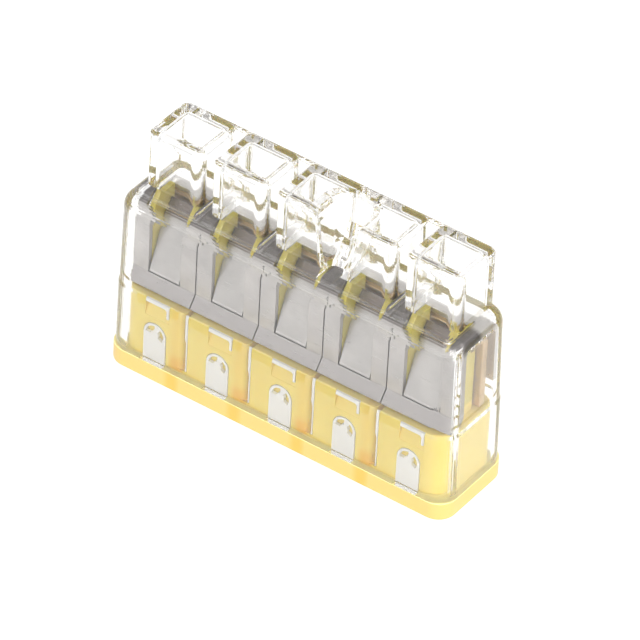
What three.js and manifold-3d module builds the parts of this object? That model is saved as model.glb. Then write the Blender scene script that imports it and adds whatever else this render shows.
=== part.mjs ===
// Five-pole push-in wire connector: a clear housing over a coloured entry cover,
// with one sprung steel cage and one copper busbar inside.
//
// Frame: X runs along the row of poles, Y through the thickness (front is -Y), Z up.
// Wires enter from below through the cover, whose underside is the plane z = 0.
// Units are millimetres.

import * as THREE from 'three';
import { mergeVertices } from 'three/addons/utils/BufferGeometryUtils.js';
import Module from 'manifold-3d';

const wasm = await Module();
wasm.setup();

// Driving dimensions of the whole connector.
const POLES = 5;
const PITCH = 3.83;
const LENGTH = 20.5;
const THICKNESS = 5.4;
const HEIGHT = 13.8;
const CORNER_RADIUS = 1.0;
const WALL = 0.6;

// Entry cover.
const FLANGE_HEIGHT = 1.0;
const CARRIER_TOP = 4.75;
const CARRIER_HALF_LENGTH = 9.55;
const CARRIER_HALF_DEPTH = 2.05;
const CARRIER_CORNER = 0.7;
const ENTRY_RADIUS = 1.55;
const BORE_RADIUS = 1.0;
const BORE_Y = -0.22;
const FUNNEL_TOP = 1.7;
const WINDOW_WIDTH = 1.5;
const WINDOW_TOP = 3.35;
const CHANNEL_HALF_WIDTH = 0.97;
const RIB = 0.3;
const RIB_TOP = 9.9;
const RIB_FRONT = -0.96;
const RIB_BACK = 0.66;
const RIB_CURVE_REACH = 0.7;
const RIB_CURVE_RISE = 1.0;
const RECESS_TOP = 4.45;
const RECESS_BOTTOM = 3.65;
const RECESS_DEPTH = 0.4;
const RECESS_HALF_WIDTH = 0.7;
const COVER_SLOT = 0.28;
const COVER_SLOT_DEPTH = 0.5;

// Clear housing.
const STEP_HEIGHT = 5.0;
const BODY_DRAFT = 0.22;
const SHOULDER_TOP = 10.5;
const SHOULDER_ROUND = 0.9;
const CEILING = 9.95;
const TOWER_HALF_LENGTH = 9.33;
const TOWER_FRONT = -1.07;
const TOWER_BACK = 2.1;
const TOWER_RADIUS = 0.5;
const TOWER_EDGE = 0.3;
const POCKET_HALF_WIDTH = 1.3;
const POCKET_FRONT = -0.75;
const POCKET_BACK = 1.7;
const POCKET_TOP = 13.45;
const POCKET_RADIUS = 0.25;
const GROOVE_WIDTH = 0.6;
const GROOVE_FLOOR = 10.45;
const GROOVE_BACK = 1.75;
const PROBE_BOUNDARY = 2;
const PROBE_RADIUS = 1.45;
const PROBE_TIP_RADIUS = 0.5;
const PROBE_BACK = 1.1;
const PROBE_WALL = 0.3;
const CATCH_HALF_WIDTH = 0.62;
const CATCH_GAP = 0.08;
const LENS_HALF_WIDTH = 0.68;
const LENS_TOP = 3.28;
const LENS_BACK = -1.75;

// Spring cage and its tongues.
const SHEET = 0.25;
const SHEET_FRONT = -1.24;
const BEND_Z = 5.55;
const FOOT_REACH = 0.48;
const FOOT_DROP = 0.68;
const CAGE_TOP = 9.75;
const CAGE_HALF_LENGTH = 9.55;
const LEG_BACK = 1.68;
const LEG_BOTTOM = 6.3;
const WEB_HALF_WIDTH = 0.585;
const FRONT_LEDGE = 0.45;
const REAR_BAR_FRONT = 0.8;
const TONGUE_HALF_WIDTH = 0.9;
const TONGUE_GAP = 0.07;
const CAGE_FOLD = 0.4;
const FLARE_START = 7.9;
const FLARE_END = 9.3;
const FLARE_HALF_WIDTH = 1.3;
const SLIT = 0.08;
const SLIT_TOP = 9.1;
const TONGUE_LEAN = THREE.MathUtils.degToRad(19.5);
const TONGUE_STRAIGHT = 3.15;
const TIP_LENGTH = 0.68;
const TIP_LEAN = THREE.MathUtils.degToRad(38);

// Busbar.
const BUSBAR_FRONT = 0.75;
const BUSBAR_THICKNESS = 0.45;
const BUSBAR_BOTTOM = 4.9;
const BUSBAR_TOP = 9.3;
const BUSBAR_HALF_LENGTH = 9.3;

// Assembly gap between the moulded parts.
const FIT_GAP = 0.03;

const poleX = (index) => (index - (POLES - 1) / 2) * PITCH;
const boundaryX = (index) => poleX(index) + PITCH / 2;
const poles = Array.from({ length: POLES }, (_, index) => index);
const boundaries = poles.slice(0, -1);

// Solids ------------------------------------------------------------------

function solid(geometry) {
  const bare = geometry.clone();
  bare.deleteAttribute('normal');
  bare.deleteAttribute('uv');
  const merged = mergeVertices(bare, 1e-5);
  return new wasm.Manifold(new wasm.Mesh({
    numProp: 3,
    vertProperties: new Float32Array(merged.attributes.position.array),
    triVerts: new Uint32Array(merged.index.array),
  }));
}

function meshFrom(name, body, material) {
  const made = body.getMesh();
  const geometry = new THREE.BufferGeometry();
  geometry.setAttribute('position', new THREE.BufferAttribute(made.vertProperties, 3));
  geometry.setIndex(new THREE.BufferAttribute(made.triVerts, 1));
  geometry.computeVertexNormals();
  const mesh = new THREE.Mesh(geometry, material);
  mesh.name = name;
  return mesh;
}

function box(x0, x1, y0, y1, z0, z1) {
  const geometry = new THREE.BoxGeometry(x1 - x0, y1 - y0, z1 - z0);
  geometry.translate((x0 + x1) / 2, (y0 + y1) / 2, (z0 + z1) / 2);
  return solid(geometry);
}

function roundedRectangle(x0, x1, y0, y1, radius) {
  const shape = new THREE.Shape();
  shape.absarc(x1 - radius, y0 + radius, radius, -Math.PI / 2, 0);
  shape.absarc(x1 - radius, y1 - radius, radius, 0, Math.PI / 2);
  shape.absarc(x0 + radius, y1 - radius, radius, Math.PI / 2, Math.PI);
  shape.absarc(x0 + radius, y0 + radius, radius, Math.PI, Math.PI * 1.5);
  return shape;
}

// An upright prism whose section shrinks by the inset given at each height.
function drafted(x0, x1, y0, y1, radius, levels, segments) {
  const settings = { depth: 1, steps: levels.length - 1, bevelEnabled: false, curveSegments: segments };
  const geometry = new THREE.ExtrudeGeometry(roundedRectangle(x0, x1, y0, y1, radius), settings);
  const middle = new THREE.Vector2((x0 + x1) / 2, (y0 + y1) / 2);
  const half = new THREE.Vector2((x1 - x0) / 2, (y1 - y0) / 2);
  const position = geometry.attributes.position;
  for (let i = 0; i < position.count; i += 1) {
    const level = levels[Math.round(position.getZ(i) * (levels.length - 1))];
    const x = middle.x + (position.getX(i) - middle.x) * (1 - level.inset / half.x);
    const y = middle.y + (position.getY(i) - middle.y) * (1 - level.inset / half.y);
    position.setXYZ(i, x, y, level.z);
  }
  return solid(geometry);
}

// A rounded-edge upright block: the bevel rounds the top and bottom edges.
function softBlock(x0, x1, y0, y1, z0, z1, radius, edge, segments = 4) {
  const settings = {
    depth: z1 - z0 - 2 * edge,
    bevelEnabled: true,
    bevelThickness: edge,
    bevelSize: edge,
    bevelOffset: -edge,
    bevelSegments: 2,
    curveSegments: segments,
  };
  const geometry = new THREE.ExtrudeGeometry(roundedRectangle(x0, x1, y0, y1, radius), settings);
  geometry.translate(0, 0, z0 + edge);
  return solid(geometry);
}

// Extrudes an outline drawn in (y, z) along X, from x0 to x1.
function alongX(shape, x0, x1, segments = 6) {
  const settings = { depth: x1 - x0, bevelEnabled: false, curveSegments: segments };
  const geometry = new THREE.ExtrudeGeometry(shape, settings);
  const turn = new THREE.Matrix4().makeBasis(
    new THREE.Vector3(0, 1, 0),
    new THREE.Vector3(0, 0, 1),
    new THREE.Vector3(1, 0, 0),
  );
  geometry.applyMatrix4(turn);
  geometry.translate(x0, 0, 0);
  return solid(geometry);
}

// Extrudes an outline drawn in (x, z) along Y, from y0 to y1.
function alongY(shape, y0, y1, segments = 6) {
  const settings = { depth: y1 - y0, bevelEnabled: false, curveSegments: segments };
  const geometry = new THREE.ExtrudeGeometry(shape, settings);
  const turn = new THREE.Matrix4().makeBasis(
    new THREE.Vector3(1, 0, 0),
    new THREE.Vector3(0, 0, 1),
    new THREE.Vector3(0, -1, 0),
  );
  geometry.applyMatrix4(turn);
  geometry.translate(0, y1, 0);
  return solid(geometry);
}

function turned(profile, x, y, segments) {
  const geometry = new THREE.LatheGeometry(profile.map(([r, z]) => new THREE.Vector2(r, z)), segments);
  geometry.rotateX(Math.PI / 2);
  geometry.translate(x, y, 0);
  return solid(geometry);
}

// The outline of bent sheet metal: a centre line with one thickness all along.
function bentSheet(path, thickness) {
  const normals = path.map((point, i) => {
    const before = path[Math.max(i - 1, 0)];
    const after = path[Math.min(i + 1, path.length - 1)];
    const into = point.clone().sub(before).normalize();
    const out = after.clone().sub(point).normalize();
    if (i === 0) into.copy(out);
    if (i === path.length - 1) out.copy(into);
    const along = into.clone().add(out).normalize();
    const stretch = 1 / Math.max(along.dot(into), 0.5);
    return new THREE.Vector2(-along.y, along.x).multiplyScalar(stretch * thickness / 2);
  });
  const left = path.map((point, i) => point.clone().add(normals[i]));
  const right = path.map((point, i) => point.clone().sub(normals[i])).reverse();
  return new THREE.Shape(left.concat(right));
}

function arc(cy, cz, radius, from, to, steps) {
  const points = [];
  for (let i = 0; i <= steps; i += 1) {
    const angle = from + (to - from) * (i / steps);
    points.push(new THREE.Vector2(cy + radius * Math.cos(angle), cz + radius * Math.sin(angle)));
  }
  return points;
}

// Clear housing -----------------------------------------------------------

function housingBody() {
  const halfLength = LENGTH / 2;
  const halfDepth = THICKNESS / 2;
  const roundStart = SHOULDER_TOP - SHOULDER_ROUND;
  const levels = [
    { z: FLANGE_HEIGHT + FIT_GAP, inset: 0.02 },
    { z: STEP_HEIGHT, inset: BODY_DRAFT / 2 },
    { z: roundStart, inset: BODY_DRAFT },
  ];
  for (let i = 1; i <= 4; i += 1) {
    const angle = (i / 4) * (Math.PI / 2);
    levels.push({
      z: roundStart + SHOULDER_ROUND * Math.sin(angle),
      inset: BODY_DRAFT + SHOULDER_ROUND * (1 - Math.cos(angle)),
    });
  }
  return drafted(-halfLength, halfLength, -halfDepth, halfDepth, CORNER_RADIUS, levels, 5);
}

function housingTower() {
  return softBlock(-TOWER_HALF_LENGTH, TOWER_HALF_LENGTH, TOWER_FRONT, TOWER_BACK,
    SHOULDER_TOP - 2, HEIGHT, TOWER_RADIUS, TOWER_EDGE);
}

function housingCavity() {
  const halfLength = LENGTH / 2 - WALL;
  const halfDepth = THICKNESS / 2 - WALL;
  const levels = [
    { z: 0, inset: 0 },
    { z: STEP_HEIGHT, inset: 0.03 },
    { z: CEILING, inset: 0.1 },
  ];
  return drafted(-halfLength, halfLength, -halfDepth, halfDepth, WALL, levels, 4);
}

function pocket(x) {
  return softBlock(x - POCKET_HALF_WIDTH, x + POCKET_HALF_WIDTH, POCKET_FRONT, POCKET_BACK,
    CEILING - 1, POCKET_TOP, POCKET_RADIUS, POCKET_RADIUS * 0.6, 3);
}

// A slot between two pole towers, open to the front and top, with a round floor.
function towerGroove(x) {
  const radius = GROOVE_WIDTH / 2;
  const shape = new THREE.Shape();
  shape.moveTo(x + radius, HEIGHT + 1);
  shape.lineTo(x - radius, HEIGHT + 1);
  shape.absarc(x, GROOVE_FLOOR + radius, radius, Math.PI, Math.PI * 2);
  return alongY(shape, -THICKNESS, GROOVE_BACK, 6);
}

// The well that takes a test probe: round at the back, open to the front, narrow at its floor.
function probeWell(x, floor, grow) {
  const radius = PROBE_RADIUS + grow;
  const taper = PROBE_RADIUS - PROBE_TIP_RADIUS;
  const levels = [
    { z: floor, inset: taper + 0.25 },
    { z: floor + 0.25, inset: taper },
    { z: HEIGHT - 0.5, inset: 0.1 },
    { z: HEIGHT + 0.5, inset: 0 },
  ];
  return drafted(x - radius, x + radius, -THICKNESS, PROBE_BACK + grow, radius * 0.9, levels, 6);
}

// The wall that keeps the probe well apart from the pockets on both sides of it.
function probeWellWall(x) {
  return probeWell(x, CEILING + 0.02, PROBE_WALL).intersect(housingTower());
}

// The wedge inside the front wall that snaps into the cover's recess.
function latchCatch(x) {
  const front = -THICKNESS / 2 + WALL / 2;
  const shape = new THREE.Shape();
  shape.moveTo(front, RECESS_TOP - CATCH_GAP);
  shape.lineTo(front, RECESS_BOTTOM + CATCH_GAP);
  shape.lineTo(-CARRIER_HALF_DEPTH - 0.01, RECESS_BOTTOM + CATCH_GAP);
  shape.lineTo(-CARRIER_HALF_DEPTH + RECESS_DEPTH - 2 * CATCH_GAP, RECESS_TOP - CATCH_GAP);
  return alongX(shape, x - CATCH_HALF_WIDTH, x + CATCH_HALF_WIDTH);
}

// The arched pad inside the front wall that fills the mouth of the sight window.
function windowLens(x) {
  const shape = new THREE.Shape();
  shape.moveTo(x - LENS_HALF_WIDTH, FLANGE_HEIGHT + FIT_GAP);
  shape.lineTo(x + LENS_HALF_WIDTH, FLANGE_HEIGHT + FIT_GAP);
  shape.absarc(x, LENS_TOP - LENS_HALF_WIDTH, LENS_HALF_WIDTH, 0, Math.PI);
  return alongY(shape, -THICKNESS / 2 + WALL / 2, LENS_BACK, 10);
}

function clearHousing() {
  let body = housingBody().add(housingTower()).subtract(housingCavity());
  for (const index of poles) {
    const x = poleX(index);
    body = body.subtract(pocket(x)).add(latchCatch(x)).add(windowLens(x));
  }
  for (const index of boundaries) {
    const x = boundaryX(index);
    if (index === PROBE_BOUNDARY) {
      body = body.add(probeWellWall(x)).subtract(probeWell(x, GROOVE_FLOOR, 0));
    } else {
      body = body.subtract(towerGroove(x));
    }
  }
  return body;
}

// Entry cover ---------------------------------------------------------------

function coverFlange() {
  const halfLength = LENGTH / 2;
  const halfDepth = THICKNESS / 2;
  const levels = [
    { z: 0, inset: 0.15 },
    { z: 0.15, inset: 0 },
    { z: FLANGE_HEIGHT, inset: 0 },
  ];
  return drafted(-halfLength, halfLength, -halfDepth, halfDepth, CORNER_RADIUS, levels, 5);
}

function coverCarrier() {
  const levels = [
    { z: FLANGE_HEIGHT / 2, inset: 0 },
    { z: CARRIER_TOP, inset: 0.05 },
  ];
  return drafted(-CARRIER_HALF_LENGTH, CARRIER_HALF_LENGTH, -CARRIER_HALF_DEPTH, CARRIER_HALF_DEPTH,
    CARRIER_CORNER, levels, 4);
}

// A rib beside a wire channel; its top rises in a curve toward the busbar.
function channelRib(x0) {
  const bottom = CARRIER_TOP - 0.5;
  const shape = new THREE.Shape();
  shape.moveTo(RIB_BACK, bottom);
  shape.lineTo(RIB_BACK, RIB_TOP);
  shape.lineTo(RIB_FRONT + RIB_CURVE_REACH, RIB_TOP);
  shape.absellipse(RIB_FRONT + RIB_CURVE_REACH, RIB_TOP - RIB_CURVE_RISE,
    RIB_CURVE_REACH, RIB_CURVE_RISE, Math.PI / 2, Math.PI);
  shape.lineTo(RIB_FRONT, bottom);
  return alongX(shape, x0, x0 + RIB, 5);
}

function wireBore(x) {
  return turned([
    [0, -1],
    [ENTRY_RADIUS + 0.1, -1],
    [ENTRY_RADIUS, 0],
    [BORE_RADIUS, FUNNEL_TOP],
    [BORE_RADIUS, CARRIER_TOP + 1],
    [0, CARRIER_TOP + 1],
  ], x, BORE_Y, 24);
}

// The arched sight window through the front wall into a wire bore.
function sightWindow(x) {
  const radius = WINDOW_WIDTH / 2;
  const shape = new THREE.Shape();
  shape.moveTo(x - radius, FLANGE_HEIGHT);
  shape.lineTo(x + radius, FLANGE_HEIGHT);
  shape.absarc(x, WINDOW_TOP - radius, radius, 0, Math.PI);
  return alongY(shape, -THICKNESS, BORE_Y, 10);
}

// The recess that the housing's catch snaps into.
function latchRecess(x) {
  const outside = -CARRIER_HALF_DEPTH - 0.2;
  const shape = new THREE.Shape();
  shape.moveTo(outside, RECESS_TOP);
  shape.lineTo(outside, RECESS_BOTTOM);
  shape.lineTo(-CARRIER_HALF_DEPTH + 0.05, RECESS_BOTTOM);
  shape.lineTo(-CARRIER_HALF_DEPTH + RECESS_DEPTH, RECESS_TOP);
  return alongX(shape, x - RECESS_HALF_WIDTH, x + RECESS_HALF_WIDTH);
}

function entryCover() {
  let body = coverFlange().add(coverCarrier());
  for (const index of poles) {
    const x = poleX(index);
    body = body.add(channelRib(x - CHANNEL_HALF_WIDTH - RIB));
    body = body.add(channelRib(x + CHANNEL_HALF_WIDTH));
  }
  for (const index of poles) {
    const x = poleX(index);
    body = body.subtract(wireBore(x)).subtract(sightWindow(x)).subtract(latchRecess(x));
  }
  for (const index of boundaries) {
    const x = boundaryX(index);
    body = body.subtract(box(x - COVER_SLOT / 2, x + COVER_SLOT / 2,
      -CARRIER_HALF_DEPTH - 0.2, -CARRIER_HALF_DEPTH + COVER_SLOT_DEPTH,
      FLANGE_HEIGHT + 0.3, CARRIER_TOP + 1));
  }
  return body;
}

// Spring cage -----------------------------------------------------------------

// Foot, front sheet, top fold, web and back leg as one bent centre line in (y, z).
function cageOutline() {
  const half = SHEET / 2;
  const y = SHEET_FRONT + half;
  const foldZ = CAGE_TOP - half - CAGE_FOLD;
  const path = [
    new THREE.Vector2(y - FOOT_REACH, BEND_Z - FOOT_DROP),
    new THREE.Vector2(y, BEND_Z),
    ...arc(y + CAGE_FOLD, foldZ, CAGE_FOLD, Math.PI, Math.PI / 2, 4),
    ...arc(LEG_BACK - half - CAGE_FOLD, foldZ, CAGE_FOLD, Math.PI / 2, 0, 4),
    new THREE.Vector2(LEG_BACK - half, LEG_BOTTOM),
  ];
  return bentSheet(path, SHEET);
}

// What is punched away between two posts to free the tongue: straight above its root,
// then flared toward the fold.
function tongueWindow(x) {
  const half = TONGUE_HALF_WIDTH + TONGUE_GAP;
  const shape = new THREE.Shape();
  shape.moveTo(x - half, BEND_Z);
  shape.lineTo(x + half, BEND_Z);
  shape.lineTo(x + half, FLARE_START);
  shape.quadraticCurveTo(x + half, FLARE_END, x + FLARE_HALF_WIDTH, FLARE_END);
  shape.lineTo(x + FLARE_HALF_WIDTH, CAGE_TOP + 1);
  shape.lineTo(x - FLARE_HALF_WIDTH, CAGE_TOP + 1);
  shape.lineTo(x - FLARE_HALF_WIDTH, FLARE_END);
  shape.quadraticCurveTo(x - half, FLARE_END, x - half, FLARE_START);
  return alongY(shape, SHEET_FRONT - 1, REAR_BAR_FRONT, 4);
}

// Behind the front fold each post narrows to a web that runs back to the rear bar.
function webRelief(x) {
  const half = PITCH / 2 - WEB_HALF_WIDTH;
  return box(x - half, x + half, SHEET_FRONT + FRONT_LEDGE, REAR_BAR_FRONT,
    LEG_BOTTOM - 1, CAGE_TOP + 1);
}

// Under the rear bar the sheet is cut back to one leg at each post.
function legRelief(x) {
  const half = PITCH / 2 - WEB_HALF_WIDTH;
  return box(x - half, x + half, REAR_BAR_FRONT - 0.5, LEG_BACK + 1,
    LEG_BOTTOM - 1, CAGE_TOP - SHEET - 0.15);
}

function clampCage() {
  let body = alongX(cageOutline(), -CAGE_HALF_LENGTH, CAGE_HALF_LENGTH);
  for (const index of poles) {
    const x = poleX(index);
    body = body.subtract(tongueWindow(x)).subtract(webRelief(x)).subtract(legRelief(x));
  }
  for (const index of boundaries) {
    const x = boundaryX(index);
    body = body.subtract(box(x - SLIT / 2, x + SLIT / 2,
      SHEET_FRONT - 1, SHEET_FRONT + 0.6, BEND_Z - 2, SLIT_TOP));
  }
  return body;
}

// A tongue leans back from its root, then its tip turns toward the busbar.
function tonguePath() {
  const root = new THREE.Vector2(SHEET_FRONT + SHEET / 2, BEND_Z + TONGUE_GAP);
  const knee = root.clone().add(new THREE.Vector2(
    Math.sin(TONGUE_LEAN) * TONGUE_STRAIGHT,
    Math.cos(TONGUE_LEAN) * TONGUE_STRAIGHT,
  ));
  const tip = knee.clone().add(new THREE.Vector2(
    Math.sin(TIP_LEAN) * TIP_LENGTH,
    Math.cos(TIP_LEAN) * TIP_LENGTH,
  ));
  const shoulder = knee.clone().lerp(root, 0.06);
  const turn = knee.clone().lerp(tip, 0.24);
  return [root, shoulder, turn, tip];
}

function clampTongue(x) {
  return alongX(bentSheet(tonguePath(), SHEET), x - TONGUE_HALF_WIDTH, x + TONGUE_HALF_WIDTH);
}

// Busbar -----------------------------------------------------------------------

function busbar() {
  return box(-BUSBAR_HALF_LENGTH, BUSBAR_HALF_LENGTH,
    BUSBAR_FRONT, BUSBAR_FRONT + BUSBAR_THICKNESS, BUSBAR_BOTTOM, BUSBAR_TOP);
}

// Materials ----------------------------------------------------------------------

const clearPlastic = new THREE.MeshStandardMaterial({
  name: 'clear_plastic', color: 0xf4f5f2, roughness: 0.06, metalness: 0, transparent: true, opacity: 0.3,
});
const yellowPlastic = new THREE.MeshStandardMaterial({
  name: 'yellow_plastic', color: 0xf6cf3a, roughness: 0.35, metalness: 0,
});
const springSteel = new THREE.MeshStandardMaterial({
  name: 'spring_steel', color: 0xb9b2ad, roughness: 0.35, metalness: 1,
});
const tinnedCopper = new THREE.MeshStandardMaterial({
  name: 'tinned_copper', color: 0xa88a6c, roughness: 0.3, metalness: 1,
});

// Assembly -------------------------------------------------------------------------

const connector = new THREE.Group();
connector.name = 'push_in_wire_connector';
connector.add(meshFrom('clear_housing', clearHousing(), clearPlastic));
connector.add(meshFrom('entry_cover', entryCover(), yellowPlastic));
connector.add(meshFrom('busbar', busbar(), tinnedCopper));
connector.add(meshFrom('clamp_cage', clampCage(), springSteel));
for (const index of poles) {
  connector.add(meshFrom(`clamp_tongue_${index + 1}`, clampTongue(poleX(index)), springSteel));
}

export default connector;
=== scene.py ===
"""The looks of a five-pole push-in wire connector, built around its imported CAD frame.

Shapes are worked out in millimetres, and MM turns them into Blender's metres.
"""

import math

import bmesh
import bpy
from mathutils import Matrix, Vector


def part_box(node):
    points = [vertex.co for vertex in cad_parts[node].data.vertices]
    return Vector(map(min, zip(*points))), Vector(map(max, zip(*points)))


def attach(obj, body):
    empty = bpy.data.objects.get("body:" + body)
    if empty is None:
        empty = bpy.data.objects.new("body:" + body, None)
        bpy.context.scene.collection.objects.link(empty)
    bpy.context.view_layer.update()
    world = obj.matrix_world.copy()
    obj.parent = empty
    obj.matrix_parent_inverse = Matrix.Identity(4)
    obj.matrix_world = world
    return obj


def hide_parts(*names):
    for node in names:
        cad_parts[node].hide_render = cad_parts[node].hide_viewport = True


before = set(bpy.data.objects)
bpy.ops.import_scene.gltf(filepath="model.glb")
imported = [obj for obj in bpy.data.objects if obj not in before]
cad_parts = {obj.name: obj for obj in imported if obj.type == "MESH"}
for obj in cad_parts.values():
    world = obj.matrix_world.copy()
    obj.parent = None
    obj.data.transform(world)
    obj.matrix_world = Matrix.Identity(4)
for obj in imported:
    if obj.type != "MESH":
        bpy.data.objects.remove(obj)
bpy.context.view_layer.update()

MM = 0.001
POLES = 5


def node_box(name):
    low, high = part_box(name)
    return Vector(low) / MM, Vector(high) / MM


cover_high = node_box("entry_cover")[1]
housing_low, housing_high = node_box("clear_housing")
cage_low, cage_high = node_box("clamp_cage")
bar_low, bar_high = node_box("busbar")
tongue_boxes = [node_box(f"clamp_tongue_{i + 1}") for i in range(POLES)]

POLE_X = [(low.x + high.x) / 2 for low, high in tongue_boxes]
PITCH = POLE_X[1] - POLE_X[0]
BOUNDARY_X = [x + PITCH / 2 for x in POLE_X[:-1]]
HALF_LENGTH = cover_high.x
HALF_DEPTH = cover_high.y
HEIGHT = housing_high.z
CORNER = 1.0

# The yellow cover. The housing's foot sinks slightly into the flange, as the two are pressed tight.
FLANGE_TOP = housing_low.z + 0.005
FLANGE_FOOT_ROUND = 0.11
CARRIER_TOP = 4.75
CARRIER_HALF_LENGTH = 9.5
CARRIER_FRONT = -2.03
CARRIER_BACK = 2.03
CARRIER_CORNER = 0.9
CARRIER_TOP_ROUND = 0.12
BORE_Y = -0.22
BORE_RADIUS = 1.0
ENTRY_RADIUS = 1.55
CHANNEL = 0.97
RIB = 0.3
RIB_FRONT = -0.96
RIB_BACK = 0.66
RIB_TOP = 9.9
RIB_CURVE_REACH = 0.7
RIB_CURVE_RISE = 1.0

# The features on the front of each pole stand slightly beside the pole's middle.
FEATURE_SHIFT = 0.15
RECESS_TOP = 4.72
RECESS_BOTTOM = 3.7
WINDOW_HALF = 0.69
WINDOW_CENTRE = 2.68
SEAT_DEPTH = 0.16
PAD_DEPTH = 0.14
PAD_PROUD = 0.06
SLOT_SHIFT = 0.1

# The clear housing.
WALL = 0.6
STEP_Z = 5.0
SHOULDER = 10.5
SHOULDER_ROUND = 0.95
BODY_DRAFT = 0.22
CEILING = 9.95
CEILING_ROUND = 0.4
CEILING_DRAFT = 0.17
TOWER_END = 9.33
TOWER_FRONT = -1.07
TOWER_BACK = 2.1
GROOVE = 0.6
GROOVE_FLOOR = 10.45
WEB_FRONT = 1.75
POCKET_HALF = 1.3
POCKET_FRONT = -0.75
POCKET_BACK = 1.7
POCKET_TOP = 13.45
WELL_BOUNDARY = 2
WELL_WALL = 0.28

# The steel strip and its tongues.
SHEET = 0.25
SHEET_FRONT = -1.24
BEND_Z = 5.55
ROOT_Z = 5.62
TONGUE_HALF = 0.9
TONGUE_GAP = 0.07

SHARP_ANGLE = 32
LIGHT_BOUNCES = 64


# Mesh code ----------------------------------------------------------------


def mesh_object(name, vertices, faces):
    """A closed mesh object from points in millimetres, with its faces pointing out."""
    mesh = bpy.data.meshes.new(name)
    mesh.from_pydata([Vector(v) * MM for v in vertices], [], faces)
    shape = bmesh.new()
    shape.from_mesh(mesh)
    bmesh.ops.remove_doubles(shape, verts=shape.verts, dist=0.0005 * MM)
    bmesh.ops.recalc_face_normals(shape, faces=shape.faces)
    shape.to_mesh(mesh)
    shape.free()
    made = bpy.data.objects.new(name, mesh)
    bpy.context.scene.collection.objects.link(made)
    return made


def loft(name, rings):
    """Skins a stack of equal rings and closes both ends."""
    count = len(rings[0])
    vertices = [point for ring in rings for point in ring]
    faces = []
    for level in range(len(rings) - 1):
        for i in range(count):
            j = (i + 1) % count
            base = level * count
            faces.append((base + i, base + j, base + count + j, base + count + i))
    faces.append(tuple(reversed(range(count))))
    faces.append(tuple(range(len(vertices) - count, len(vertices))))
    return mesh_object(name, vertices, faces)


def arc(cx, cy, radius, start, end, steps):
    """Points on a circle, from start to end in degrees."""
    points = []
    for i in range(steps + 1):
        angle = math.radians(start + (end - start) * i / steps)
        points.append((cx + radius * math.cos(angle), cy + radius * math.sin(angle)))
    return points


def rounded_rectangle(x0, x1, y0, y1, radius, steps):
    corners = ((x1, y0, -90), (x1, y1, 0), (x0, y1, 90), (x0, y0, 180))
    points = []
    for x, y, start in corners:
        cx = x - radius if x == x1 else x + radius
        cy = y - radius if y == y1 else y + radius
        points += arc(cx, cy, radius, start, start + 90, steps)
    return points


def block(name, x0, x1, y0, y1, radius, levels, steps=12):
    """A rounded upright block; each level is (height, how far the section is inset there)."""
    rings = []
    for z, inset in levels:
        corner = max(radius - inset, 0.03)
        outline = rounded_rectangle(x0 + inset, x1 - inset, y0 + inset, y1 - inset, corner, steps)
        rings.append([(x, y, z) for x, y in outline])
    return loft(name, rings)


def rounded_top(z, radius, draft, steps=8):
    """Levels of a quarter round that ends at the height z."""
    levels = []
    for i in range(steps + 1):
        angle = math.pi / 2 * i / steps
        height = z - radius + radius * math.sin(angle)
        levels.append((height, draft + radius * (1 - math.cos(angle))))
    return levels


def eased(z0, z1, bottom, top, draft=0.0, steps=8):
    """Levels of an upright block with rounded bottom and top edges and a draft."""
    levels = []
    if bottom:
        for i in range(steps + 1):
            angle = math.pi / 2 * i / steps
            levels.append((z0 + bottom * (1 - math.cos(angle)), bottom * (1 - math.sin(angle))))
    else:
        levels.append((z0, 0.0))
    if top:
        levels += rounded_top(z1, top, draft, steps)
    else:
        levels.append((z1, draft))
    return levels


def prism_x(name, outline, x0, x1):
    """Pushes an outline drawn in (y, z) along X."""
    return loft(name, [[(x, y, z) for y, z in outline] for x in (x0, x1)])


def prism_y(name, outline, y0, y1):
    """Pushes an outline drawn in (x, z) along Y."""
    return loft(name, [[(x, y, z) for x, z in outline] for y in (y0, y1)])


def turned(name, profile, x, y, steps=48):
    """Turns a (radius, height) profile about an upright axis; its ends are capped."""
    rings = []
    for radius, z in profile:
        rings.append([(x + px, y + py, z) for px, py in arc(0, 0, radius, 0, 360, steps)[:-1]])
    return loft(name, rings)


def box(name, x0, x1, y0, y1, z0, z1):
    return prism_y(name, [(x0, z0), (x1, z0), (x1, z1), (x0, z1)], y0, y1)


def combine(base, others, operation):
    """Joins or cuts base with the others, one after another, and uses them up."""
    for other in others:
        modifier = base.modifiers.new("combine", "BOOLEAN")
        modifier.operation = operation
        modifier.solver = "MANIFOLD"
        modifier.object = other
        graph = bpy.context.evaluated_depsgraph_get()
        result = bpy.data.meshes.new_from_object(base.evaluated_get(graph))
        base.modifiers.clear()
        base.data = result
        bpy.data.objects.remove(other)
    return base


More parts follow.
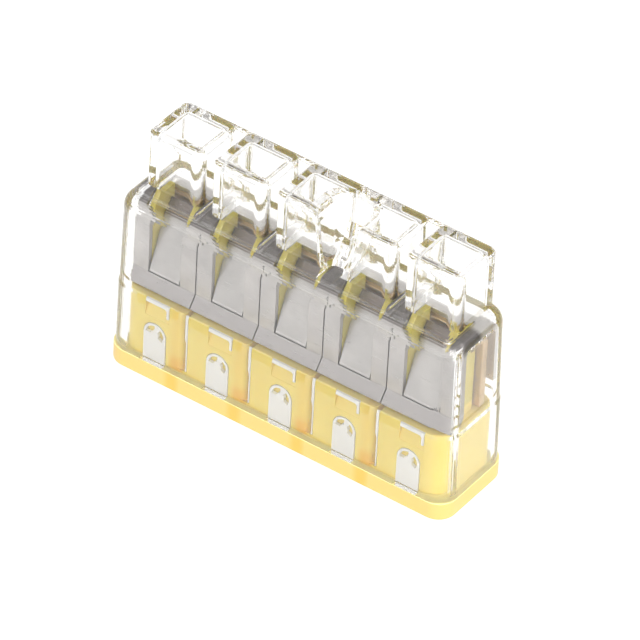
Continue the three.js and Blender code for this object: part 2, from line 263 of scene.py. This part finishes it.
def finish_surface(piece, bevel, segments=3, smooth=True, plain=None):
    """Rounds the edges that are still sharp, but not at the height plain; smooths the rest."""
    shape = bmesh.new()
    shape.from_mesh(piece.data)
    bmesh.ops.remove_doubles(shape, verts=shape.verts, dist=0.002 * MM)
    bmesh.ops.dissolve_degenerate(shape, edges=shape.edges, dist=0.002 * MM)
    bmesh.ops.dissolve_limit(
        shape, angle_limit=math.radians(1.0), verts=shape.verts, edges=shape.edges
    )
    weights = shape.edges.layers.float.new("bevel_weight_edge")
    for edge in shape.edges:
        sharp = edge.is_manifold and edge.calc_face_angle() > math.radians(SHARP_ANGLE)
        if plain is not None and all(abs(vert.co.z / MM - plain) < 0.02 for vert in edge.verts):
            sharp = False
        edge[weights] = 1.0 if sharp else 0.0
    shape.to_mesh(piece.data)
    shape.free()
    if bevel:
        rounding = piece.modifiers.new("edge", "BEVEL")
        rounding.width = bevel * MM
        rounding.segments = segments
        rounding.limit_method = "WEIGHT"
        rounding.miter_outer = "MITER_ARC"
    for polygon in piece.data.polygons:
        polygon.use_smooth = smooth
    if smooth:
        piece.data.set_sharp_from_angle(angle=math.radians(SHARP_ANGLE + 8))
        weighting = piece.modifiers.new("normals", "WEIGHTED_NORMAL")
        weighting.keep_sharp = True


# Materials ------------------------------------------------------------------


def new_material(name):
    material = bpy.data.materials.new(name)
    material.use_nodes = True
    nodes = material.node_tree.nodes
    nodes.clear()
    output = nodes.new("ShaderNodeOutputMaterial")
    shader = nodes.new("ShaderNodeBsdfPrincipled")
    material.node_tree.links.new(shader.outputs["BSDF"], output.inputs["Surface"])
    return material, shader


def object_coordinates(material, stretch=(1, 1, 1)):
    nodes = material.node_tree.nodes
    coordinates = nodes.new("ShaderNodeTexCoord")
    mapping = nodes.new("ShaderNodeMapping")
    mapping.inputs["Scale"].default_value = stretch
    material.node_tree.links.new(coordinates.outputs["Object"], mapping.inputs["Vector"])
    return mapping.outputs["Vector"]


def noise(material, vector, scale, detail=4.0, roughness=0.5):
    texture = material.node_tree.nodes.new("ShaderNodeTexNoise")
    texture.inputs["Scale"].default_value = scale
    texture.inputs["Detail"].default_value = detail
    texture.inputs["Roughness"].default_value = roughness
    material.node_tree.links.new(vector, texture.inputs["Vector"])
    return texture.outputs["Fac"]


def ramp(material, factor, low, high):
    """Turns a noise value into a colour between low and high."""
    node = material.node_tree.nodes.new("ShaderNodeValToRGB")
    node.color_ramp.elements[0].position = 0.3
    node.color_ramp.elements[0].color = (*low, 1)
    node.color_ramp.elements[1].position = 0.7
    node.color_ramp.elements[1].color = (*high, 1)
    material.node_tree.links.new(factor, node.inputs["Fac"])
    return node.outputs["Color"]


def spread(material, factor, low, high):
    """Maps a noise value onto the range from low to high."""
    node = material.node_tree.nodes.new("ShaderNodeMapRange")
    node.inputs["From Min"].default_value = 0.3
    node.inputs["From Max"].default_value = 0.7
    node.inputs["To Min"].default_value = low
    node.inputs["To Max"].default_value = high
    material.node_tree.links.new(factor, node.inputs["Value"])
    return node.outputs["Result"]


def bump(material, shader, height, strength, distance):
    node = material.node_tree.nodes.new("ShaderNodeBump")
    node.inputs["Strength"].default_value = strength
    node.inputs["Distance"].default_value = distance * MM
    material.node_tree.links.new(height, node.inputs["Height"])
    material.node_tree.links.new(node.outputs["Normal"], shader.inputs["Normal"])


def math_node(material, operation, first, second=None, third=None):
    """A Math node; each input is a socket or a number."""
    node = material.node_tree.nodes.new("ShaderNodeMath")
    node.operation = operation
    for slot, value in zip(node.inputs, (first, second, third)):
        if isinstance(value, (int, float)):
            slot.default_value = value
        elif value is not None:
            material.node_tree.links.new(value, slot)
    return node.outputs["Value"]


def fade(material, value, start, end):
    """1 at start (in millimetres), falling to 0 at end."""
    node = material.node_tree.nodes.new("ShaderNodeMapRange")
    node.interpolation_type = "SMOOTHSTEP"
    node.inputs["From Min"].default_value = start * MM
    node.inputs["From Max"].default_value = end * MM
    node.inputs["To Min"].default_value = 1.0
    node.inputs["To Max"].default_value = 0.0
    material.node_tree.links.new(value, node.inputs["Value"])
    return node.outputs["Result"]


def separate(material, vector):
    node = material.node_tree.nodes.new("ShaderNodeSeparateXYZ")
    material.node_tree.links.new(vector, node.inputs["Vector"])
    return node.outputs["X"], node.outputs["Y"], node.outputs["Z"]


def mix_colour(material, factor, first, second):
    """Mixes two colours; each is a socket or an RGB value."""
    node = material.node_tree.nodes.new("ShaderNodeMix")
    node.data_type = "RGBA"
    sockets = [slot for slot in node.inputs if slot.type == "RGBA"]
    for slot, value in zip(sockets, (first, second)):
        if isinstance(value, tuple):
            slot.default_value = (*value, 1)
        else:
            material.node_tree.links.new(value, slot)
    material.node_tree.links.new(factor, node.inputs["Factor"])
    return [out for out in node.outputs if out.type == "RGBA"][0]


def clear_plastic():
    material, shader = new_material("clear_plastic")
    place = object_coordinates(material)
    shader.inputs["Base Color"].default_value = (0.995, 0.995, 0.99, 1)
    shader.inputs["Transmission Weight"].default_value = 1.0
    shader.inputs["IOR"].default_value = 1.585
    flow = noise(material, place, 260, 2.0)
    material.node_tree.links.new(spread(material, flow, 0.015, 0.05), shader.inputs["Roughness"])
    bump(material, shader, flow, 0.08, 0.05)
    return material


def yellow_plastic():
    """Yellow plastic with painted light and shade: olive painted shade on the ribs inside the cage,
    painted orange shade and a painted light spot beside each slot, a flange painted darker to
    offset its stronger light, and a painted highlight along the flange's top.
    """
    material, shader = new_material("yellow_plastic")
    place = object_coordinates(material)
    x, y, z = separate(material, place)
    patches = noise(material, place, 350, 3.0)
    carrier = ramp(material, patches, (0.96, 0.74, 0.15), (0.99, 0.79, 0.2))
    # Painted shade: the ribs above the carriers stand inside the steel cage and are painted olive
    # there.
    behind = fade(material, y, -0.98, -1.1)
    ribs = math_node(material, "MULTIPLY", behind, fade(material, z, 5.4, 5.2))
    colour = mix_colour(material, ribs, carrier, (0.72, 0.60, 0.09))

    # Painted shade and light beside each slot on the carriers' fronts; edge is their mask.
    period = math_node(material, "WRAP", x, PITCH / 2 * MM, -PITCH / 2 * MM)
    aside = math_node(material, "SUBTRACT", period, (PITCH / 2 - 0.45) * MM)
    aside = math_node(material, "ABSOLUTE", aside)
    inner = fade(material, math_node(material, "ABSOLUTE", x), 8.4, 8.8)
    front = math_node(material, "LESS_THAN", y, -1.1 * MM)
    front = math_node(material, "MULTIPLY", inner, front)
    edge = math_node(material, "MULTIPLY", fade(material, aside, 0.1, 0.6), front)
    # Painted shade: deeper orange beside each slot, where the front turns away from the light.
    glow = math_node(material, "MULTIPLY", edge, 0.5)
    colour = mix_colour(material, glow, colour, (0.97, 0.64, 0.08))
    # Painted light: a saturated orange spot low beside each slot, for light coming through the thin
    # plastic.
    painted_light_spot = math_node(material, "MULTIPLY", fade(material, z, 1.5, 2.2), edge)
    colour = mix_colour(material, painted_light_spot, colour, (0.96, 0.55, 0.05))

    # The flange is painted darker than the carriers to offset the stronger light it gets below the
    # clear housing; the painted orange of the slots runs onto it.
    flange = mix_colour(material, edge, (0.67, 0.48, 0.155), (0.68, 0.42, 0.08))
    colour = mix_colour(material, fade(material, z, 1.0, 1.2), colour, flange)
    # Painted highlight: a paler band along the flange's top, where the housing stands on it.
    height = math_node(material, "SUBTRACT", z, FLANGE_TOP * MM)
    ledge_highlight = fade(material, math_node(material, "ABSOLUTE", height), 0.01, 0.05)
    ledge_highlight = math_node(material, "MULTIPLY", ledge_highlight, 0.8)
    colour = mix_colour(material, ledge_highlight, colour, (1.0, 0.92, 0.45))

    links = material.node_tree.links
    links.new(colour, shader.inputs["Base Color"])
    links.new(spread(material, patches, 0.3, 0.42), shader.inputs["Roughness"])
    shader.inputs["IOR"].default_value = 1.5
    shader.inputs["Subsurface Weight"].default_value = 0.15
    shader.inputs["Subsurface Radius"].default_value = (1.0, 0.6, 0.15)
    shader.inputs["Subsurface Scale"].default_value = 0.4 * MM
    grain = noise(material, place, 9000, 2.0)
    bump(material, shader, grain, 0.12, 0.012)
    return material


def frosted_plastic():
    """The clear plastic where its surface is textured and looks white."""
    material, shader = new_material("frosted_plastic")
    place = object_coordinates(material)
    grain = noise(material, place, 4000, 3.0)
    colour = ramp(material, grain, (0.985, 0.985, 0.98), (1.0, 1.0, 1.0))
    material.node_tree.links.new(colour, shader.inputs["Base Color"])
    material.node_tree.links.new(spread(material, grain, 0.35, 0.5), shader.inputs["Roughness"])
    shader.inputs["IOR"].default_value = 1.585
    bump(material, shader, grain, 0.1, 0.01)
    return material


def rolled_metal(name, dark, light, rough, painted_tints=()):
    """Sheet metal with fine rolling lines along X, soft stains, and light and shade painted by
    position.

    Each painted tint is (axis, value where it is full, value where it ends, its colour).
    """
    material, shader = new_material(name)
    place = object_coordinates(material)
    lines = noise(material, object_coordinates(material, (1, 14, 14)), 900, 4.0, 0.6)
    stains = noise(material, place, 700, 5.0, 0.6)
    colour = ramp(material, stains, dark, light)
    axes = separate(material, place)
    for axis, full, end, shade in painted_tints:
        colour = mix_colour(material, fade(material, axes[axis], full, end), colour, shade)
    material.node_tree.links.new(colour, shader.inputs["Base Color"])
    material.node_tree.links.new(spread(material, lines, *rough), shader.inputs["Roughness"])
    shader.inputs["Metallic"].default_value = 1.0
    bump(material, shader, lines, 0.25, 0.01)
    return material


AXIS_Y, AXIS_Z = 1, 2
# Painted light and shade on the steel, by position: a shaded foot below the bend, a shaded fold
# over the top, a lighter back, and a shaded tongue tip.
FOOT_PAINTED_SHADE = (AXIS_Z, BEND_Z, BEND_Z + 0.15, (0.32, 0.30, 0.295))
FOLD_PAINTED_SHADE = (AXIS_Z, 9.55, 9.3, (0.17, 0.155, 0.15))
BACK_PAINTED_LIGHT = (AXIS_Y, 0.5, 0.1, (0.70, 0.68, 0.66))
TIP_PAINTED_SHADE = (AXIS_Z, 8.8, 8.55, (0.19, 0.16, 0.145))

CLEAR = clear_plastic()
YELLOW = yellow_plastic()
FROSTED = frosted_plastic()
STEEL = rolled_metal("spring_steel", (0.44, 0.42, 0.41), (0.55, 0.525, 0.51), (0.26, 0.42),
                     [FOOT_PAINTED_SHADE, FOLD_PAINTED_SHADE, BACK_PAINTED_LIGHT])
# The tongues use a darker copy of the steel: painted shade that offsets the stronger front light on
# them.
TONGUE_STEEL = rolled_metal("tongue_steel", (0.38, 0.365, 0.355), (0.48, 0.46, 0.445),
                            (0.26, 0.42), [TIP_PAINTED_SHADE])
COPPER = rolled_metal("tinned_copper", (0.52, 0.36, 0.17), (0.66, 0.46, 0.22), (0.25, 0.4))


# Clear housing ----------------------------------------------------------------


def housing_body():
    """The drafted lower body, with a small step near mid-height and a round shoulder."""
    levels = [(housing_low.z, 0.02), (STEP_Z - 0.1, 0.07), (STEP_Z + 0.1, 0.12)]
    levels += rounded_top(SHOULDER, SHOULDER_ROUND, BODY_DRAFT)
    return block("housing_shell", -HALF_LENGTH, HALF_LENGTH, -HALF_DEPTH, HALF_DEPTH,
                 CORNER + 0.2, levels, 12)


def tower_block(index):
    """One hollow finger of the tower; the end ones reach the tower's ends."""
    x0 = POLE_X[index] - PITCH / 2 + GROOVE / 2
    x1 = POLE_X[index] + PITCH / 2 - GROOVE / 2
    if index == 0:
        x0 = -TOWER_END
    if index == POLES - 1:
        x1 = TOWER_END
    levels = eased(SHOULDER - 1.0, HEIGHT, 0, 0.24, 0.02)
    return block(f"tower_{index}", x0, x1, TOWER_FRONT, TOWER_BACK, 0.36, levels)


def tower_web():
    """The wall along the back that ties the fingers together."""
    levels = eased(SHOULDER - 1.0, HEIGHT - 0.02, 0, 0.16)
    return block("tower_web", -TOWER_END + 0.3, TOWER_END - 0.3,
                 WEB_FRONT, TOWER_BACK - 0.005, 0.1, levels)


def housing_cavity():
    """The inside of the shell; its top corner is concentric with the shoulder's."""
    levels = [(0, 0), (STEP_Z, 0.05)] + rounded_top(CEILING, CEILING_ROUND, CEILING_DRAFT)
    return block("cavity", -HALF_LENGTH + WALL, HALF_LENGTH - WALL,
                 -HALF_DEPTH + WALL, HALF_DEPTH - WALL, 0.62, levels)


def tower_pocket(index):
    x = POLE_X[index]
    levels = eased(CEILING - 1, POCKET_TOP, 0, 0.35, 0.03)
    return block(f"pocket_{index}", x - POCKET_HALF, x + POCKET_HALF,
                 POCKET_FRONT, POCKET_BACK, 0.4, levels)


def groove_floor(x):
    """The round floor of a groove where it runs out over the shoulder."""
    half = GROOVE / 2
    outline = [(x + half, SHOULDER + 0.6), (x - half, SHOULDER + 0.6)]
    outline += arc(x, GROOVE_FLOOR + half, half, 180, 360, 12)
    return prism_y("groove", outline, -HALF_DEPTH, WEB_FRONT)


def well(x, grow, floor):
    """The probe well: open to the front, rounded at the back, with a flared mouth."""
    sections = [(floor, 0.42, -0.4), (10.65, 0.6, -0.1), (11.3, 0.72, 0.6), (12.2, 0.86, 1.05),
                (13.1, 0.98, 1.25), (13.45, 1.1, 1.32), (13.65, 1.32, 1.4), (HEIGHT, 1.62, 1.5),
                (HEIGHT + 0.3, 2.1, 1.55)]
    rings = []
    for z, half, back in sections:
        half += grow
        back += grow
        corner = 0.75 * half
        outline = [(x - half, -HALF_DEPTH - 0.5), (x + half, -HALF_DEPTH - 0.5)]
        outline += arc(x + half - corner, back - corner, corner, 0, 90, 10)
        outline += arc(x - half + corner, back - corner, corner, 90, 180, 10)
        rings.append([(px, py, z) for px, py in outline])
    return loft("well", rings)


def clear_housing():
    shell = housing_body()
    fingers = [tower_block(i) for i in range(POLES)]
    combine(shell, fingers + [tower_web()], "UNION")
    combine(shell, [housing_cavity()], "DIFFERENCE")
    combine(shell, [tower_pocket(i) for i in range(POLES)], "DIFFERENCE")
    boundary = BOUNDARY_X[WELL_BOUNDARY]
    well_wall = well(boundary, WELL_WALL, CEILING + 0.03)
    room = block("room", boundary - 2.2, boundary + 2.2, TOWER_FRONT + 0.003, TOWER_BACK - 0.2,
                 0.3, eased(CEILING + 0.02, HEIGHT - 0.02, 0, 0.2))
    combine(well_wall, [room], "INTERSECT")
    backing = block("backing", boundary - GROOVE, boundary + GROOVE, 0.2, TOWER_BACK - 0.04, 0.1,
                    eased(CEILING + 0.1, HEIGHT - 0.03, 0, 0.2))
    combine(shell, [well_wall, backing], "UNION")
    combine(shell, [well(boundary, 0, GROOVE_FLOOR)], "DIFFERENCE")
    grooves = [groove_floor(x) for i, x in enumerate(BOUNDARY_X) if i != WELL_BOUNDARY]
    combine(shell, grooves, "DIFFERENCE")
    finish_surface(shell, 0.04, segments=4, smooth=False, plain=housing_low.z)
    shell.data.materials.clear()
    shell.data.materials.append(CLEAR)
    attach(shell, "root")
    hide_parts("clear_housing")


# Entry cover --------------------------------------------------------------------


def cover_flange():
    return block("cover_body", -HALF_LENGTH, HALF_LENGTH, -HALF_DEPTH, HALF_DEPTH, CORNER,
                 eased(0, FLANGE_TOP, FLANGE_FOOT_ROUND, 0), 12)


def carrier_slot(boundary):
    """The slot that parts two carriers; its left front edge is flared."""
    x = boundary + SLOT_SHIFT
    half, flare, steps = 0.13, 0.4, 6
    front = CARRIER_FRONT
    outline = [(x + half, front - 0.3), (x + half, front + 0.9), (x - half, front + 0.9)]
    outline += [(x - half - flare * (1 - math.cos(angle)), front + flare * (1 - math.sin(angle)))
                for angle in [math.pi / 2 * i / steps for i in range(steps + 1)]]
    outline += [(x - half - flare, front - 0.3)]
    heights = (FLANGE_TOP + 0.2, CARRIER_TOP + 1)
    return loft("slot", [[(px, py, z) for px, py in outline] for z in heights])


def cover_rib(x0):
    """A wire channel's side rib; its top front corner is a quarter of an ellipse."""
    reach, rise = RIB_CURVE_REACH, RIB_CURVE_RISE
    bottom = CARRIER_TOP - 0.5
    outline = [(RIB_BACK, bottom), (RIB_BACK, RIB_TOP)]
    for i in range(13):
        angle = math.pi / 2 * i / 12
        outline.append((RIB_FRONT + reach - reach * math.sin(angle),
                        RIB_TOP - rise + rise * math.cos(angle)))
    outline += [(RIB_FRONT, bottom)]
    return prism_x("rib", outline, x0, x0 + RIB)


def wire_bore(x):
    """A funnel-shaped wire entry and the bore above it."""
    profile = [(ENTRY_RADIUS + 0.25, -0.5), (ENTRY_RADIUS + 0.12, 0.0), (ENTRY_RADIUS, 0.12)]
    profile += [(BORE_RADIUS + 0.1, 1.4), (BORE_RADIUS, 1.8), (BORE_RADIUS, CARRIER_TOP + 1)]
    return turned("bore", profile, x, BORE_Y)


def arch(x, half, bottom):
    """The outline of a sight window: straight sides under a half circle."""
    return [(x - half, bottom), (x + half, bottom)] + arc(x, WINDOW_CENTRE, half, 0, 180, 20)


def sight_window(x):
    """The square opening into a wire bore."""
    x += FEATURE_SHIFT
    return box("window", x - WINDOW_HALF, x + WINDOW_HALF, -HALF_DEPTH, BORE_Y,
               FLANGE_TOP - 0.02, WINDOW_CENTRE - 0.5)


def window_head(x):
    """The shallow arched seat over and around the opening."""
    outline = arch(x + FEATURE_SHIFT, WINDOW_HALF, FLANGE_TOP - 0.02)
    return prism_y("seat", outline, -HALF_DEPTH, CARRIER_FRONT + SEAT_DEPTH)


def latch_recess(x):
    """A recess with a sloped floor, high on a carrier's front, for the housing's catch."""
    outline = [(CARRIER_FRONT - 0.2, RECESS_TOP), (CARRIER_FRONT - 0.2, RECESS_BOTTOM)]
    outline += [(CARRIER_FRONT + 0.02, RECESS_BOTTOM), (CARRIER_FRONT + 0.4, RECESS_TOP)]
    return prism_x("recess", outline, x - 0.47, x + 0.99)


def entry_cover():
    cover = cover_flange()
    carrier = block("carrier", -CARRIER_HALF_LENGTH, CARRIER_HALF_LENGTH, CARRIER_FRONT,
                    CARRIER_BACK, CARRIER_CORNER,
                    eased(FLANGE_TOP - 0.5, CARRIER_TOP, 0, CARRIER_TOP_ROUND), 8)
    ribs = []
    for x in POLE_X:
        ribs += [cover_rib(x - CHANNEL - RIB), cover_rib(x + CHANNEL)]
    combine(cover, [carrier] + ribs, "UNION")
    cuts = []
    for x in POLE_X:
        cuts += [wire_bore(x), sight_window(x), window_head(x), latch_recess(x)]
    cuts += [carrier_slot(x) for x in BOUNDARY_X]
    combine(cover, cuts, "DIFFERENCE")
    finish_surface(cover, 0.06, plain=FLANGE_TOP)
    cover.data.materials.clear()
    cover.data.materials.append(YELLOW)
    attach(cover, "root")
    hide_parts("entry_cover")


# Moulded-in pads of the housing and white strips of painted light ----------------------------


def curved_slot(x, z, radius, width, start, end):
    outline = arc(x, z, radius + width / 2, start, end, 12)
    outline += arc(x, z, radius - width / 2, end, start, 12)
    return prism_y("slot", outline, -HALF_DEPTH, 0)


def window_pad(x):
    """The pad that fills a sight window; two curved slots part its round head."""
    centre = x + FEATURE_SHIFT
    pad = prism_y("pad", arch(centre, WINDOW_HALF - 0.03, FLANGE_TOP + 0.03),
                  CARRIER_FRONT - PAD_PROUD, CARRIER_FRONT + PAD_DEPTH)
    slots = [curved_slot(centre, WINDOW_CENTRE, 0.38, 0.3, start, start + 85)
             for start in (90, -35)]
    return combine(pad, slots, "DIFFERENCE")


def catch_highlight(x):
    """White strips along the upper and right edges of a catch's recess: a painted highlight for the
    light the catch's top and right faces reflect; the catch itself is not drawn.
    """
    left, right, top, low = x - 0.44, x + 0.96, RECESS_TOP - 0.03, RECESS_BOTTOM + 0.3
    thick = 0.13
    outline = [(left, top), (left, top - thick), (right - thick - 0.1, top - thick)]
    outline += [(right - thick, top - thick - 0.1), (right - thick, low)]
    outline += [(right, low), (right, top)]
    return prism_y("catch", outline, CARRIER_FRONT - PAD_PROUD, CARRIER_FRONT + 0.08)


def slot_light_strip(boundary):
    """A narrow white strip in the slot between two carriers: painted light for the bright line seen
    through the slot.
    """
    x = boundary + SLOT_SHIFT
    outline = [(x + 0.06, FLANGE_TOP + 0.3), (x + 0.11, FLANGE_TOP + 0.3), (x + 0.12, 3.2)]
    outline += [(x + 0.12, CARRIER_TOP), (x - 0.02, CARRIER_TOP), (x - 0.02, 3.4), (x + 0.06, 3.1)]
    return prism_y("rib", outline, CARRIER_FRONT - PAD_PROUD, CARRIER_FRONT + 0.1)


def housing_pads():
    """The frosted window pads on the carriers' fronts, and white strips of painted light: the
    catches' highlights and the bright lines in the slots.
    """
    pads = window_pad(POLE_X[0])
    pads.name = "housing_pads"
    others = [window_pad(x) for x in POLE_X[1:]]
    others += [catch_highlight(x) for x in POLE_X]
    others += [slot_light_strip(x) for x in BOUNDARY_X]
    combine(pads, others, "UNION")
    finish_surface(pads, 0.015, segments=2)
    pads.data.materials.clear()
    pads.data.materials.append(FROSTED)
    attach(pads, "root")


# Metal --------------------------------------------------------------------------


def sheet_outline(path, thickness):
    """The outline of bent sheet metal around a centre line of (y, z) points."""
    left, right = [], []
    for i, point in enumerate(path):
        before = Vector(path[max(i - 1, 0)])
        after = Vector(path[min(i + 1, len(path) - 1)])
        here = Vector(point)
        into = (here - before) if i else (after - here)
        out = (after - here) if i < len(path) - 1 else into
        along = (into.normalized() + out.normalized()).normalized()
        stretch = 1 / max(along.dot(into.normalized()), 0.5)
        offset = Vector((-along.y, along.x)) * (stretch * thickness / 2)
        left.append(tuple(here + offset))
        right.append(tuple(here - offset))
    return left + right[::-1]


def cage_path():
    """The strip's centre line: foot, front, fold over the top and the legs at the back."""
    half = SHEET / 2
    y = SHEET_FRONT + half
    top = cage_high.z - half
    back = cage_high.y - half
    fold = 0.38
    path = [(y - 0.48, BEND_Z - 0.68), (y - 0.06, BEND_Z - 0.09)]
    path += [(y - 0.01, BEND_Z), (y, BEND_Z + 0.1)]
    path += arc(y + fold, top - fold, fold, 180, 90, 8)
    path += arc(back - fold, top - fold, fold, 90, 0, 8)
    path += [(back, 6.3)]
    return path


def tongue_window(x):
    """The opening around a tongue: straight above its root, then flared toward the fold."""
    half = TONGUE_HALF + TONGUE_GAP
    start, end, wide = 7.9, 9.3, 1.3
    bottom, top = ROOT_Z - 0.03, cage_high.z + 1
    flare = [(half + (wide - half) * t * t, end - (end - start) * (1 - t) ** 2)
             for t in [i / 8 for i in range(9)]]
    outline = [(x - half, bottom), (x + half, bottom)]
    outline += [(x + reach, z) for reach, z in flare] + [(x + wide, top), (x - wide, top)]
    outline += [(x - reach, z) for reach, z in reversed(flare)]
    return prism_y("window", outline, SHEET_FRONT - 1, 0.8)


def clamp_cage():
    cage = prism_x("cage_sheet", sheet_outline(cage_path(), SHEET), cage_low.x, cage_high.x)
    cuts = []
    post = PITCH / 2 - 0.585
    for x in POLE_X:
        cuts.append(tongue_window(x))
        cuts.append(box("relief", x - post, x + post, SHEET_FRONT + 0.45, 0.8,
                        5.3, cage_high.z + 1))
        cuts.append(box("legs", x - post, x + post, 0.3, cage_high.y + 1,
                        5.3, cage_high.z - SHEET - 0.15))
    for x in BOUNDARY_X:
        cuts.append(box("slit", x - 0.035, x + 0.035, SHEET_FRONT - 1, SHEET_FRONT + 0.6,
                        3.5, 9.1))
    combine(cage, cuts, "DIFFERENCE")
    finish_surface(cage, 0.03, segments=2)
    cage.data.materials.clear()
    cage.data.materials.append(STEEL)
    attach(cage, "root")
    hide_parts("clamp_cage")


def tongue_path():
    """A tongue's centre line: upright at its root, leaning back, then a steeper tip."""
    lean = math.radians(19.5)
    tip_lean = math.radians(38)
    length, tip_length = 3.15, 0.45
    bend_step, bend_steps = 0.07, 5
    y = SHEET_FRONT + SHEET / 2 + 0.008
    knee_y = y + math.sin(lean) * length
    knee_z = ROOT_Z + math.cos(lean) * length
    path = [(y, ROOT_Z - 0.01), (y, ROOT_Z + 0.02)]
    path += [(y + 0.02, ROOT_Z + 0.12), (knee_y - 0.06, knee_z - 0.2)]
    runs = [(lean + (tip_lean - lean) * (i + 0.5) / bend_steps, bend_step)
            for i in range(bend_steps)]
    for angle, run in runs + [(tip_lean, tip_length)]:
        last_y, last_z = path[-1]
        path.append((last_y + run * math.sin(angle), last_z + run * math.cos(angle)))
    return path


def root_chamfer(x):
    """Takes off a root's lower front corner, which dips as the tongue swings forward."""
    front = SHEET_FRONT - 0.1
    outline = [(front, ROOT_Z - 0.1), (SHEET_FRONT + SHEET / 2 - 0.012, ROOT_Z - 0.019)]
    outline += [(SHEET_FRONT - 0.012, ROOT_Z + 0.035), (front, ROOT_Z + 0.035)]
    return prism_x("chamfer", outline, x - TONGUE_HALF - 0.1, x + TONGUE_HALF + 0.1)


def clamp_tongue(index):
    x = POLE_X[index]
    tongue = prism_x(f"tongue_sheet_{index + 1}", sheet_outline(tongue_path(), SHEET),
                     x - TONGUE_HALF, x + TONGUE_HALF)
    combine(tongue, [root_chamfer(x)], "DIFFERENCE")
    finish_surface(tongue, 0.02, segments=2)
    tongue.data.materials.clear()
    tongue.data.materials.append(TONGUE_STEEL)
    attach(tongue, f"tongue_{index + 1}")
    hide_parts(f"clamp_tongue_{index + 1}")


def busbar():
    levels = eased(bar_low.z, bar_high.z, 0.06, 0.06)
    bar = block("current_bar", bar_low.x, bar_high.x, bar_low.y, bar_high.y, 0.08, levels, 3)
    finish_surface(bar, 0)
    bar.data.materials.append(COPPER)
    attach(bar, "root")
    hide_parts("busbar")


# Stage ------------------------------------------------------------------------------


def pale_floor():
    """A plain floor that glows white around the object and less farther out."""
    bpy.ops.mesh.primitive_plane_add(size=4, location=(0, 0, -0.00002))
    floor = bpy.context.object
    floor.name = "floor"
    material, shader = new_material("floor")
    shader.inputs["Base Color"].default_value = (0.35, 0.35, 0.35, 1)
    shader.inputs["Roughness"].default_value = 0.9
    shader.inputs["Specular IOR Level"].default_value = 0.0
    shader.inputs["Emission Color"].default_value = (1, 1, 1, 1)
    distance = material.node_tree.nodes.new("ShaderNodeVectorMath")
    distance.operation = "LENGTH"
    material.node_tree.links.new(object_coordinates(material), distance.inputs[0])
    near = fade(material, distance.outputs["Value"], 35, 110)
    glow = math_node(material, "MULTIPLY_ADD", near, 0.5, 0.3)
    material.node_tree.links.new(glow, shader.inputs["Emission Strength"])
    floor.data.materials.append(material)


def sky():
    """White at the horizon, greyer overhead, and brighter at the front right."""
    world = bpy.data.worlds.new("studio")
    bpy.context.scene.world = world
    world.use_nodes = True
    nodes = world.node_tree.nodes
    links = world.node_tree.links
    background = nodes["Background"]
    direction = nodes.new("ShaderNodeTexCoord")
    x, y, z = separate(world, direction.outputs["Generated"])
    shades = nodes.new("ShaderNodeValToRGB")
    links.new(z, shades.inputs["Fac"])
    shades.color_ramp.elements[0].position = 0.25
    shades.color_ramp.elements[0].color = (1, 1, 1, 1)
    shades.color_ramp.elements[1].position = 0.6
    shades.color_ramp.elements[1].color = (0.59, 0.58, 0.57, 1)
    links.new(shades.outputs["Color"], background.inputs["Color"])
    side = math_node(world, "MULTIPLY", x, 0.8)
    front = nodes.new("ShaderNodeMapRange")
    front.interpolation_type = "SMOOTHSTEP"
    links.new(math_node(world, "SUBTRACT", y, side), front.inputs["Value"])
    front.inputs["From Min"].default_value = -0.9
    front.inputs["From Max"].default_value = 0.1
    front.inputs["To Min"].default_value = 2.6
    front.inputs["To Max"].default_value = 1.1
    links.new(front.outputs["Result"], background.inputs["Strength"])


def area_lamp(name, place, size, power):
    """A round soft lamp, aimed at the object's middle."""
    lamp = bpy.data.lights.new(name, "AREA")
    lamp.shape = "DISK"
    lamp.size = size
    lamp.energy = power
    holder = bpy.data.objects.new(name, lamp)
    holder.location = place
    aim = Vector((0, 0, 0.006)) - Vector(place)
    holder.rotation_euler = aim.to_track_quat("-Z", "Y").to_euler()
    bpy.context.scene.collection.objects.link(holder)


def camera():
    """The camera's place, from its angles about the object's middle."""
    azimuth, elevation, roll = math.radians(33.925), math.radians(39.202), math.radians(3.008)
    distance = 0.3674
    aim = Vector((0, 0, 0.007))
    shift_right, shift_up = 0.0004974, -0.0008218
    back = Vector((math.sin(azimuth) * math.cos(elevation),
                   -math.cos(azimuth) * math.cos(elevation), math.sin(elevation)))
    right = Vector((math.cos(azimuth), math.sin(azimuth), 0))
    up = back.cross(right)
    turned_right = right * math.cos(roll) + up * math.sin(roll)
    turned_up = up * math.cos(roll) - right * math.sin(roll)
    data = bpy.data.cameras.new("camera")
    data.sensor_width = 36
    data.lens = 424.6
    data.clip_start = 0.01
    holder = bpy.data.objects.new("camera", data)
    rotation = [list(column) for column in zip(turned_right, turned_up, back)]
    place = aim + turned_right * shift_right + turned_up * shift_up + back * distance
    holder.matrix_world = Matrix.Translation(place) @ Matrix(rotation).to_4x4()
    bpy.context.scene.collection.objects.link(holder)
    bpy.context.scene.camera = holder


def light_paths():
    """Enough bounces for light to get through every wall of the clear housing."""
    scene = bpy.context.scene
    scene.view_settings.view_transform = "Standard"
    scene.cycles.max_bounces = LIGHT_BOUNCES
    scene.cycles.transmission_bounces = LIGHT_BOUNCES
    scene.cycles.glossy_bounces = LIGHT_BOUNCES
    scene.cycles.transparent_max_bounces = 16
    scene.cycles.caustics_refractive = True


camera()
pale_floor()
sky()
area_lamp("overhead", (0.05, -0.1, 0.45), 0.35, 0.5)
area_lamp("right_fill", (0.4, -0.1, 0.2), 0.25, 0.7)
light_paths()
clear_housing()
entry_cover()
housing_pads()
clamp_cage()
for pole in range(POLES):
    clamp_tongue(pole)
busbar()
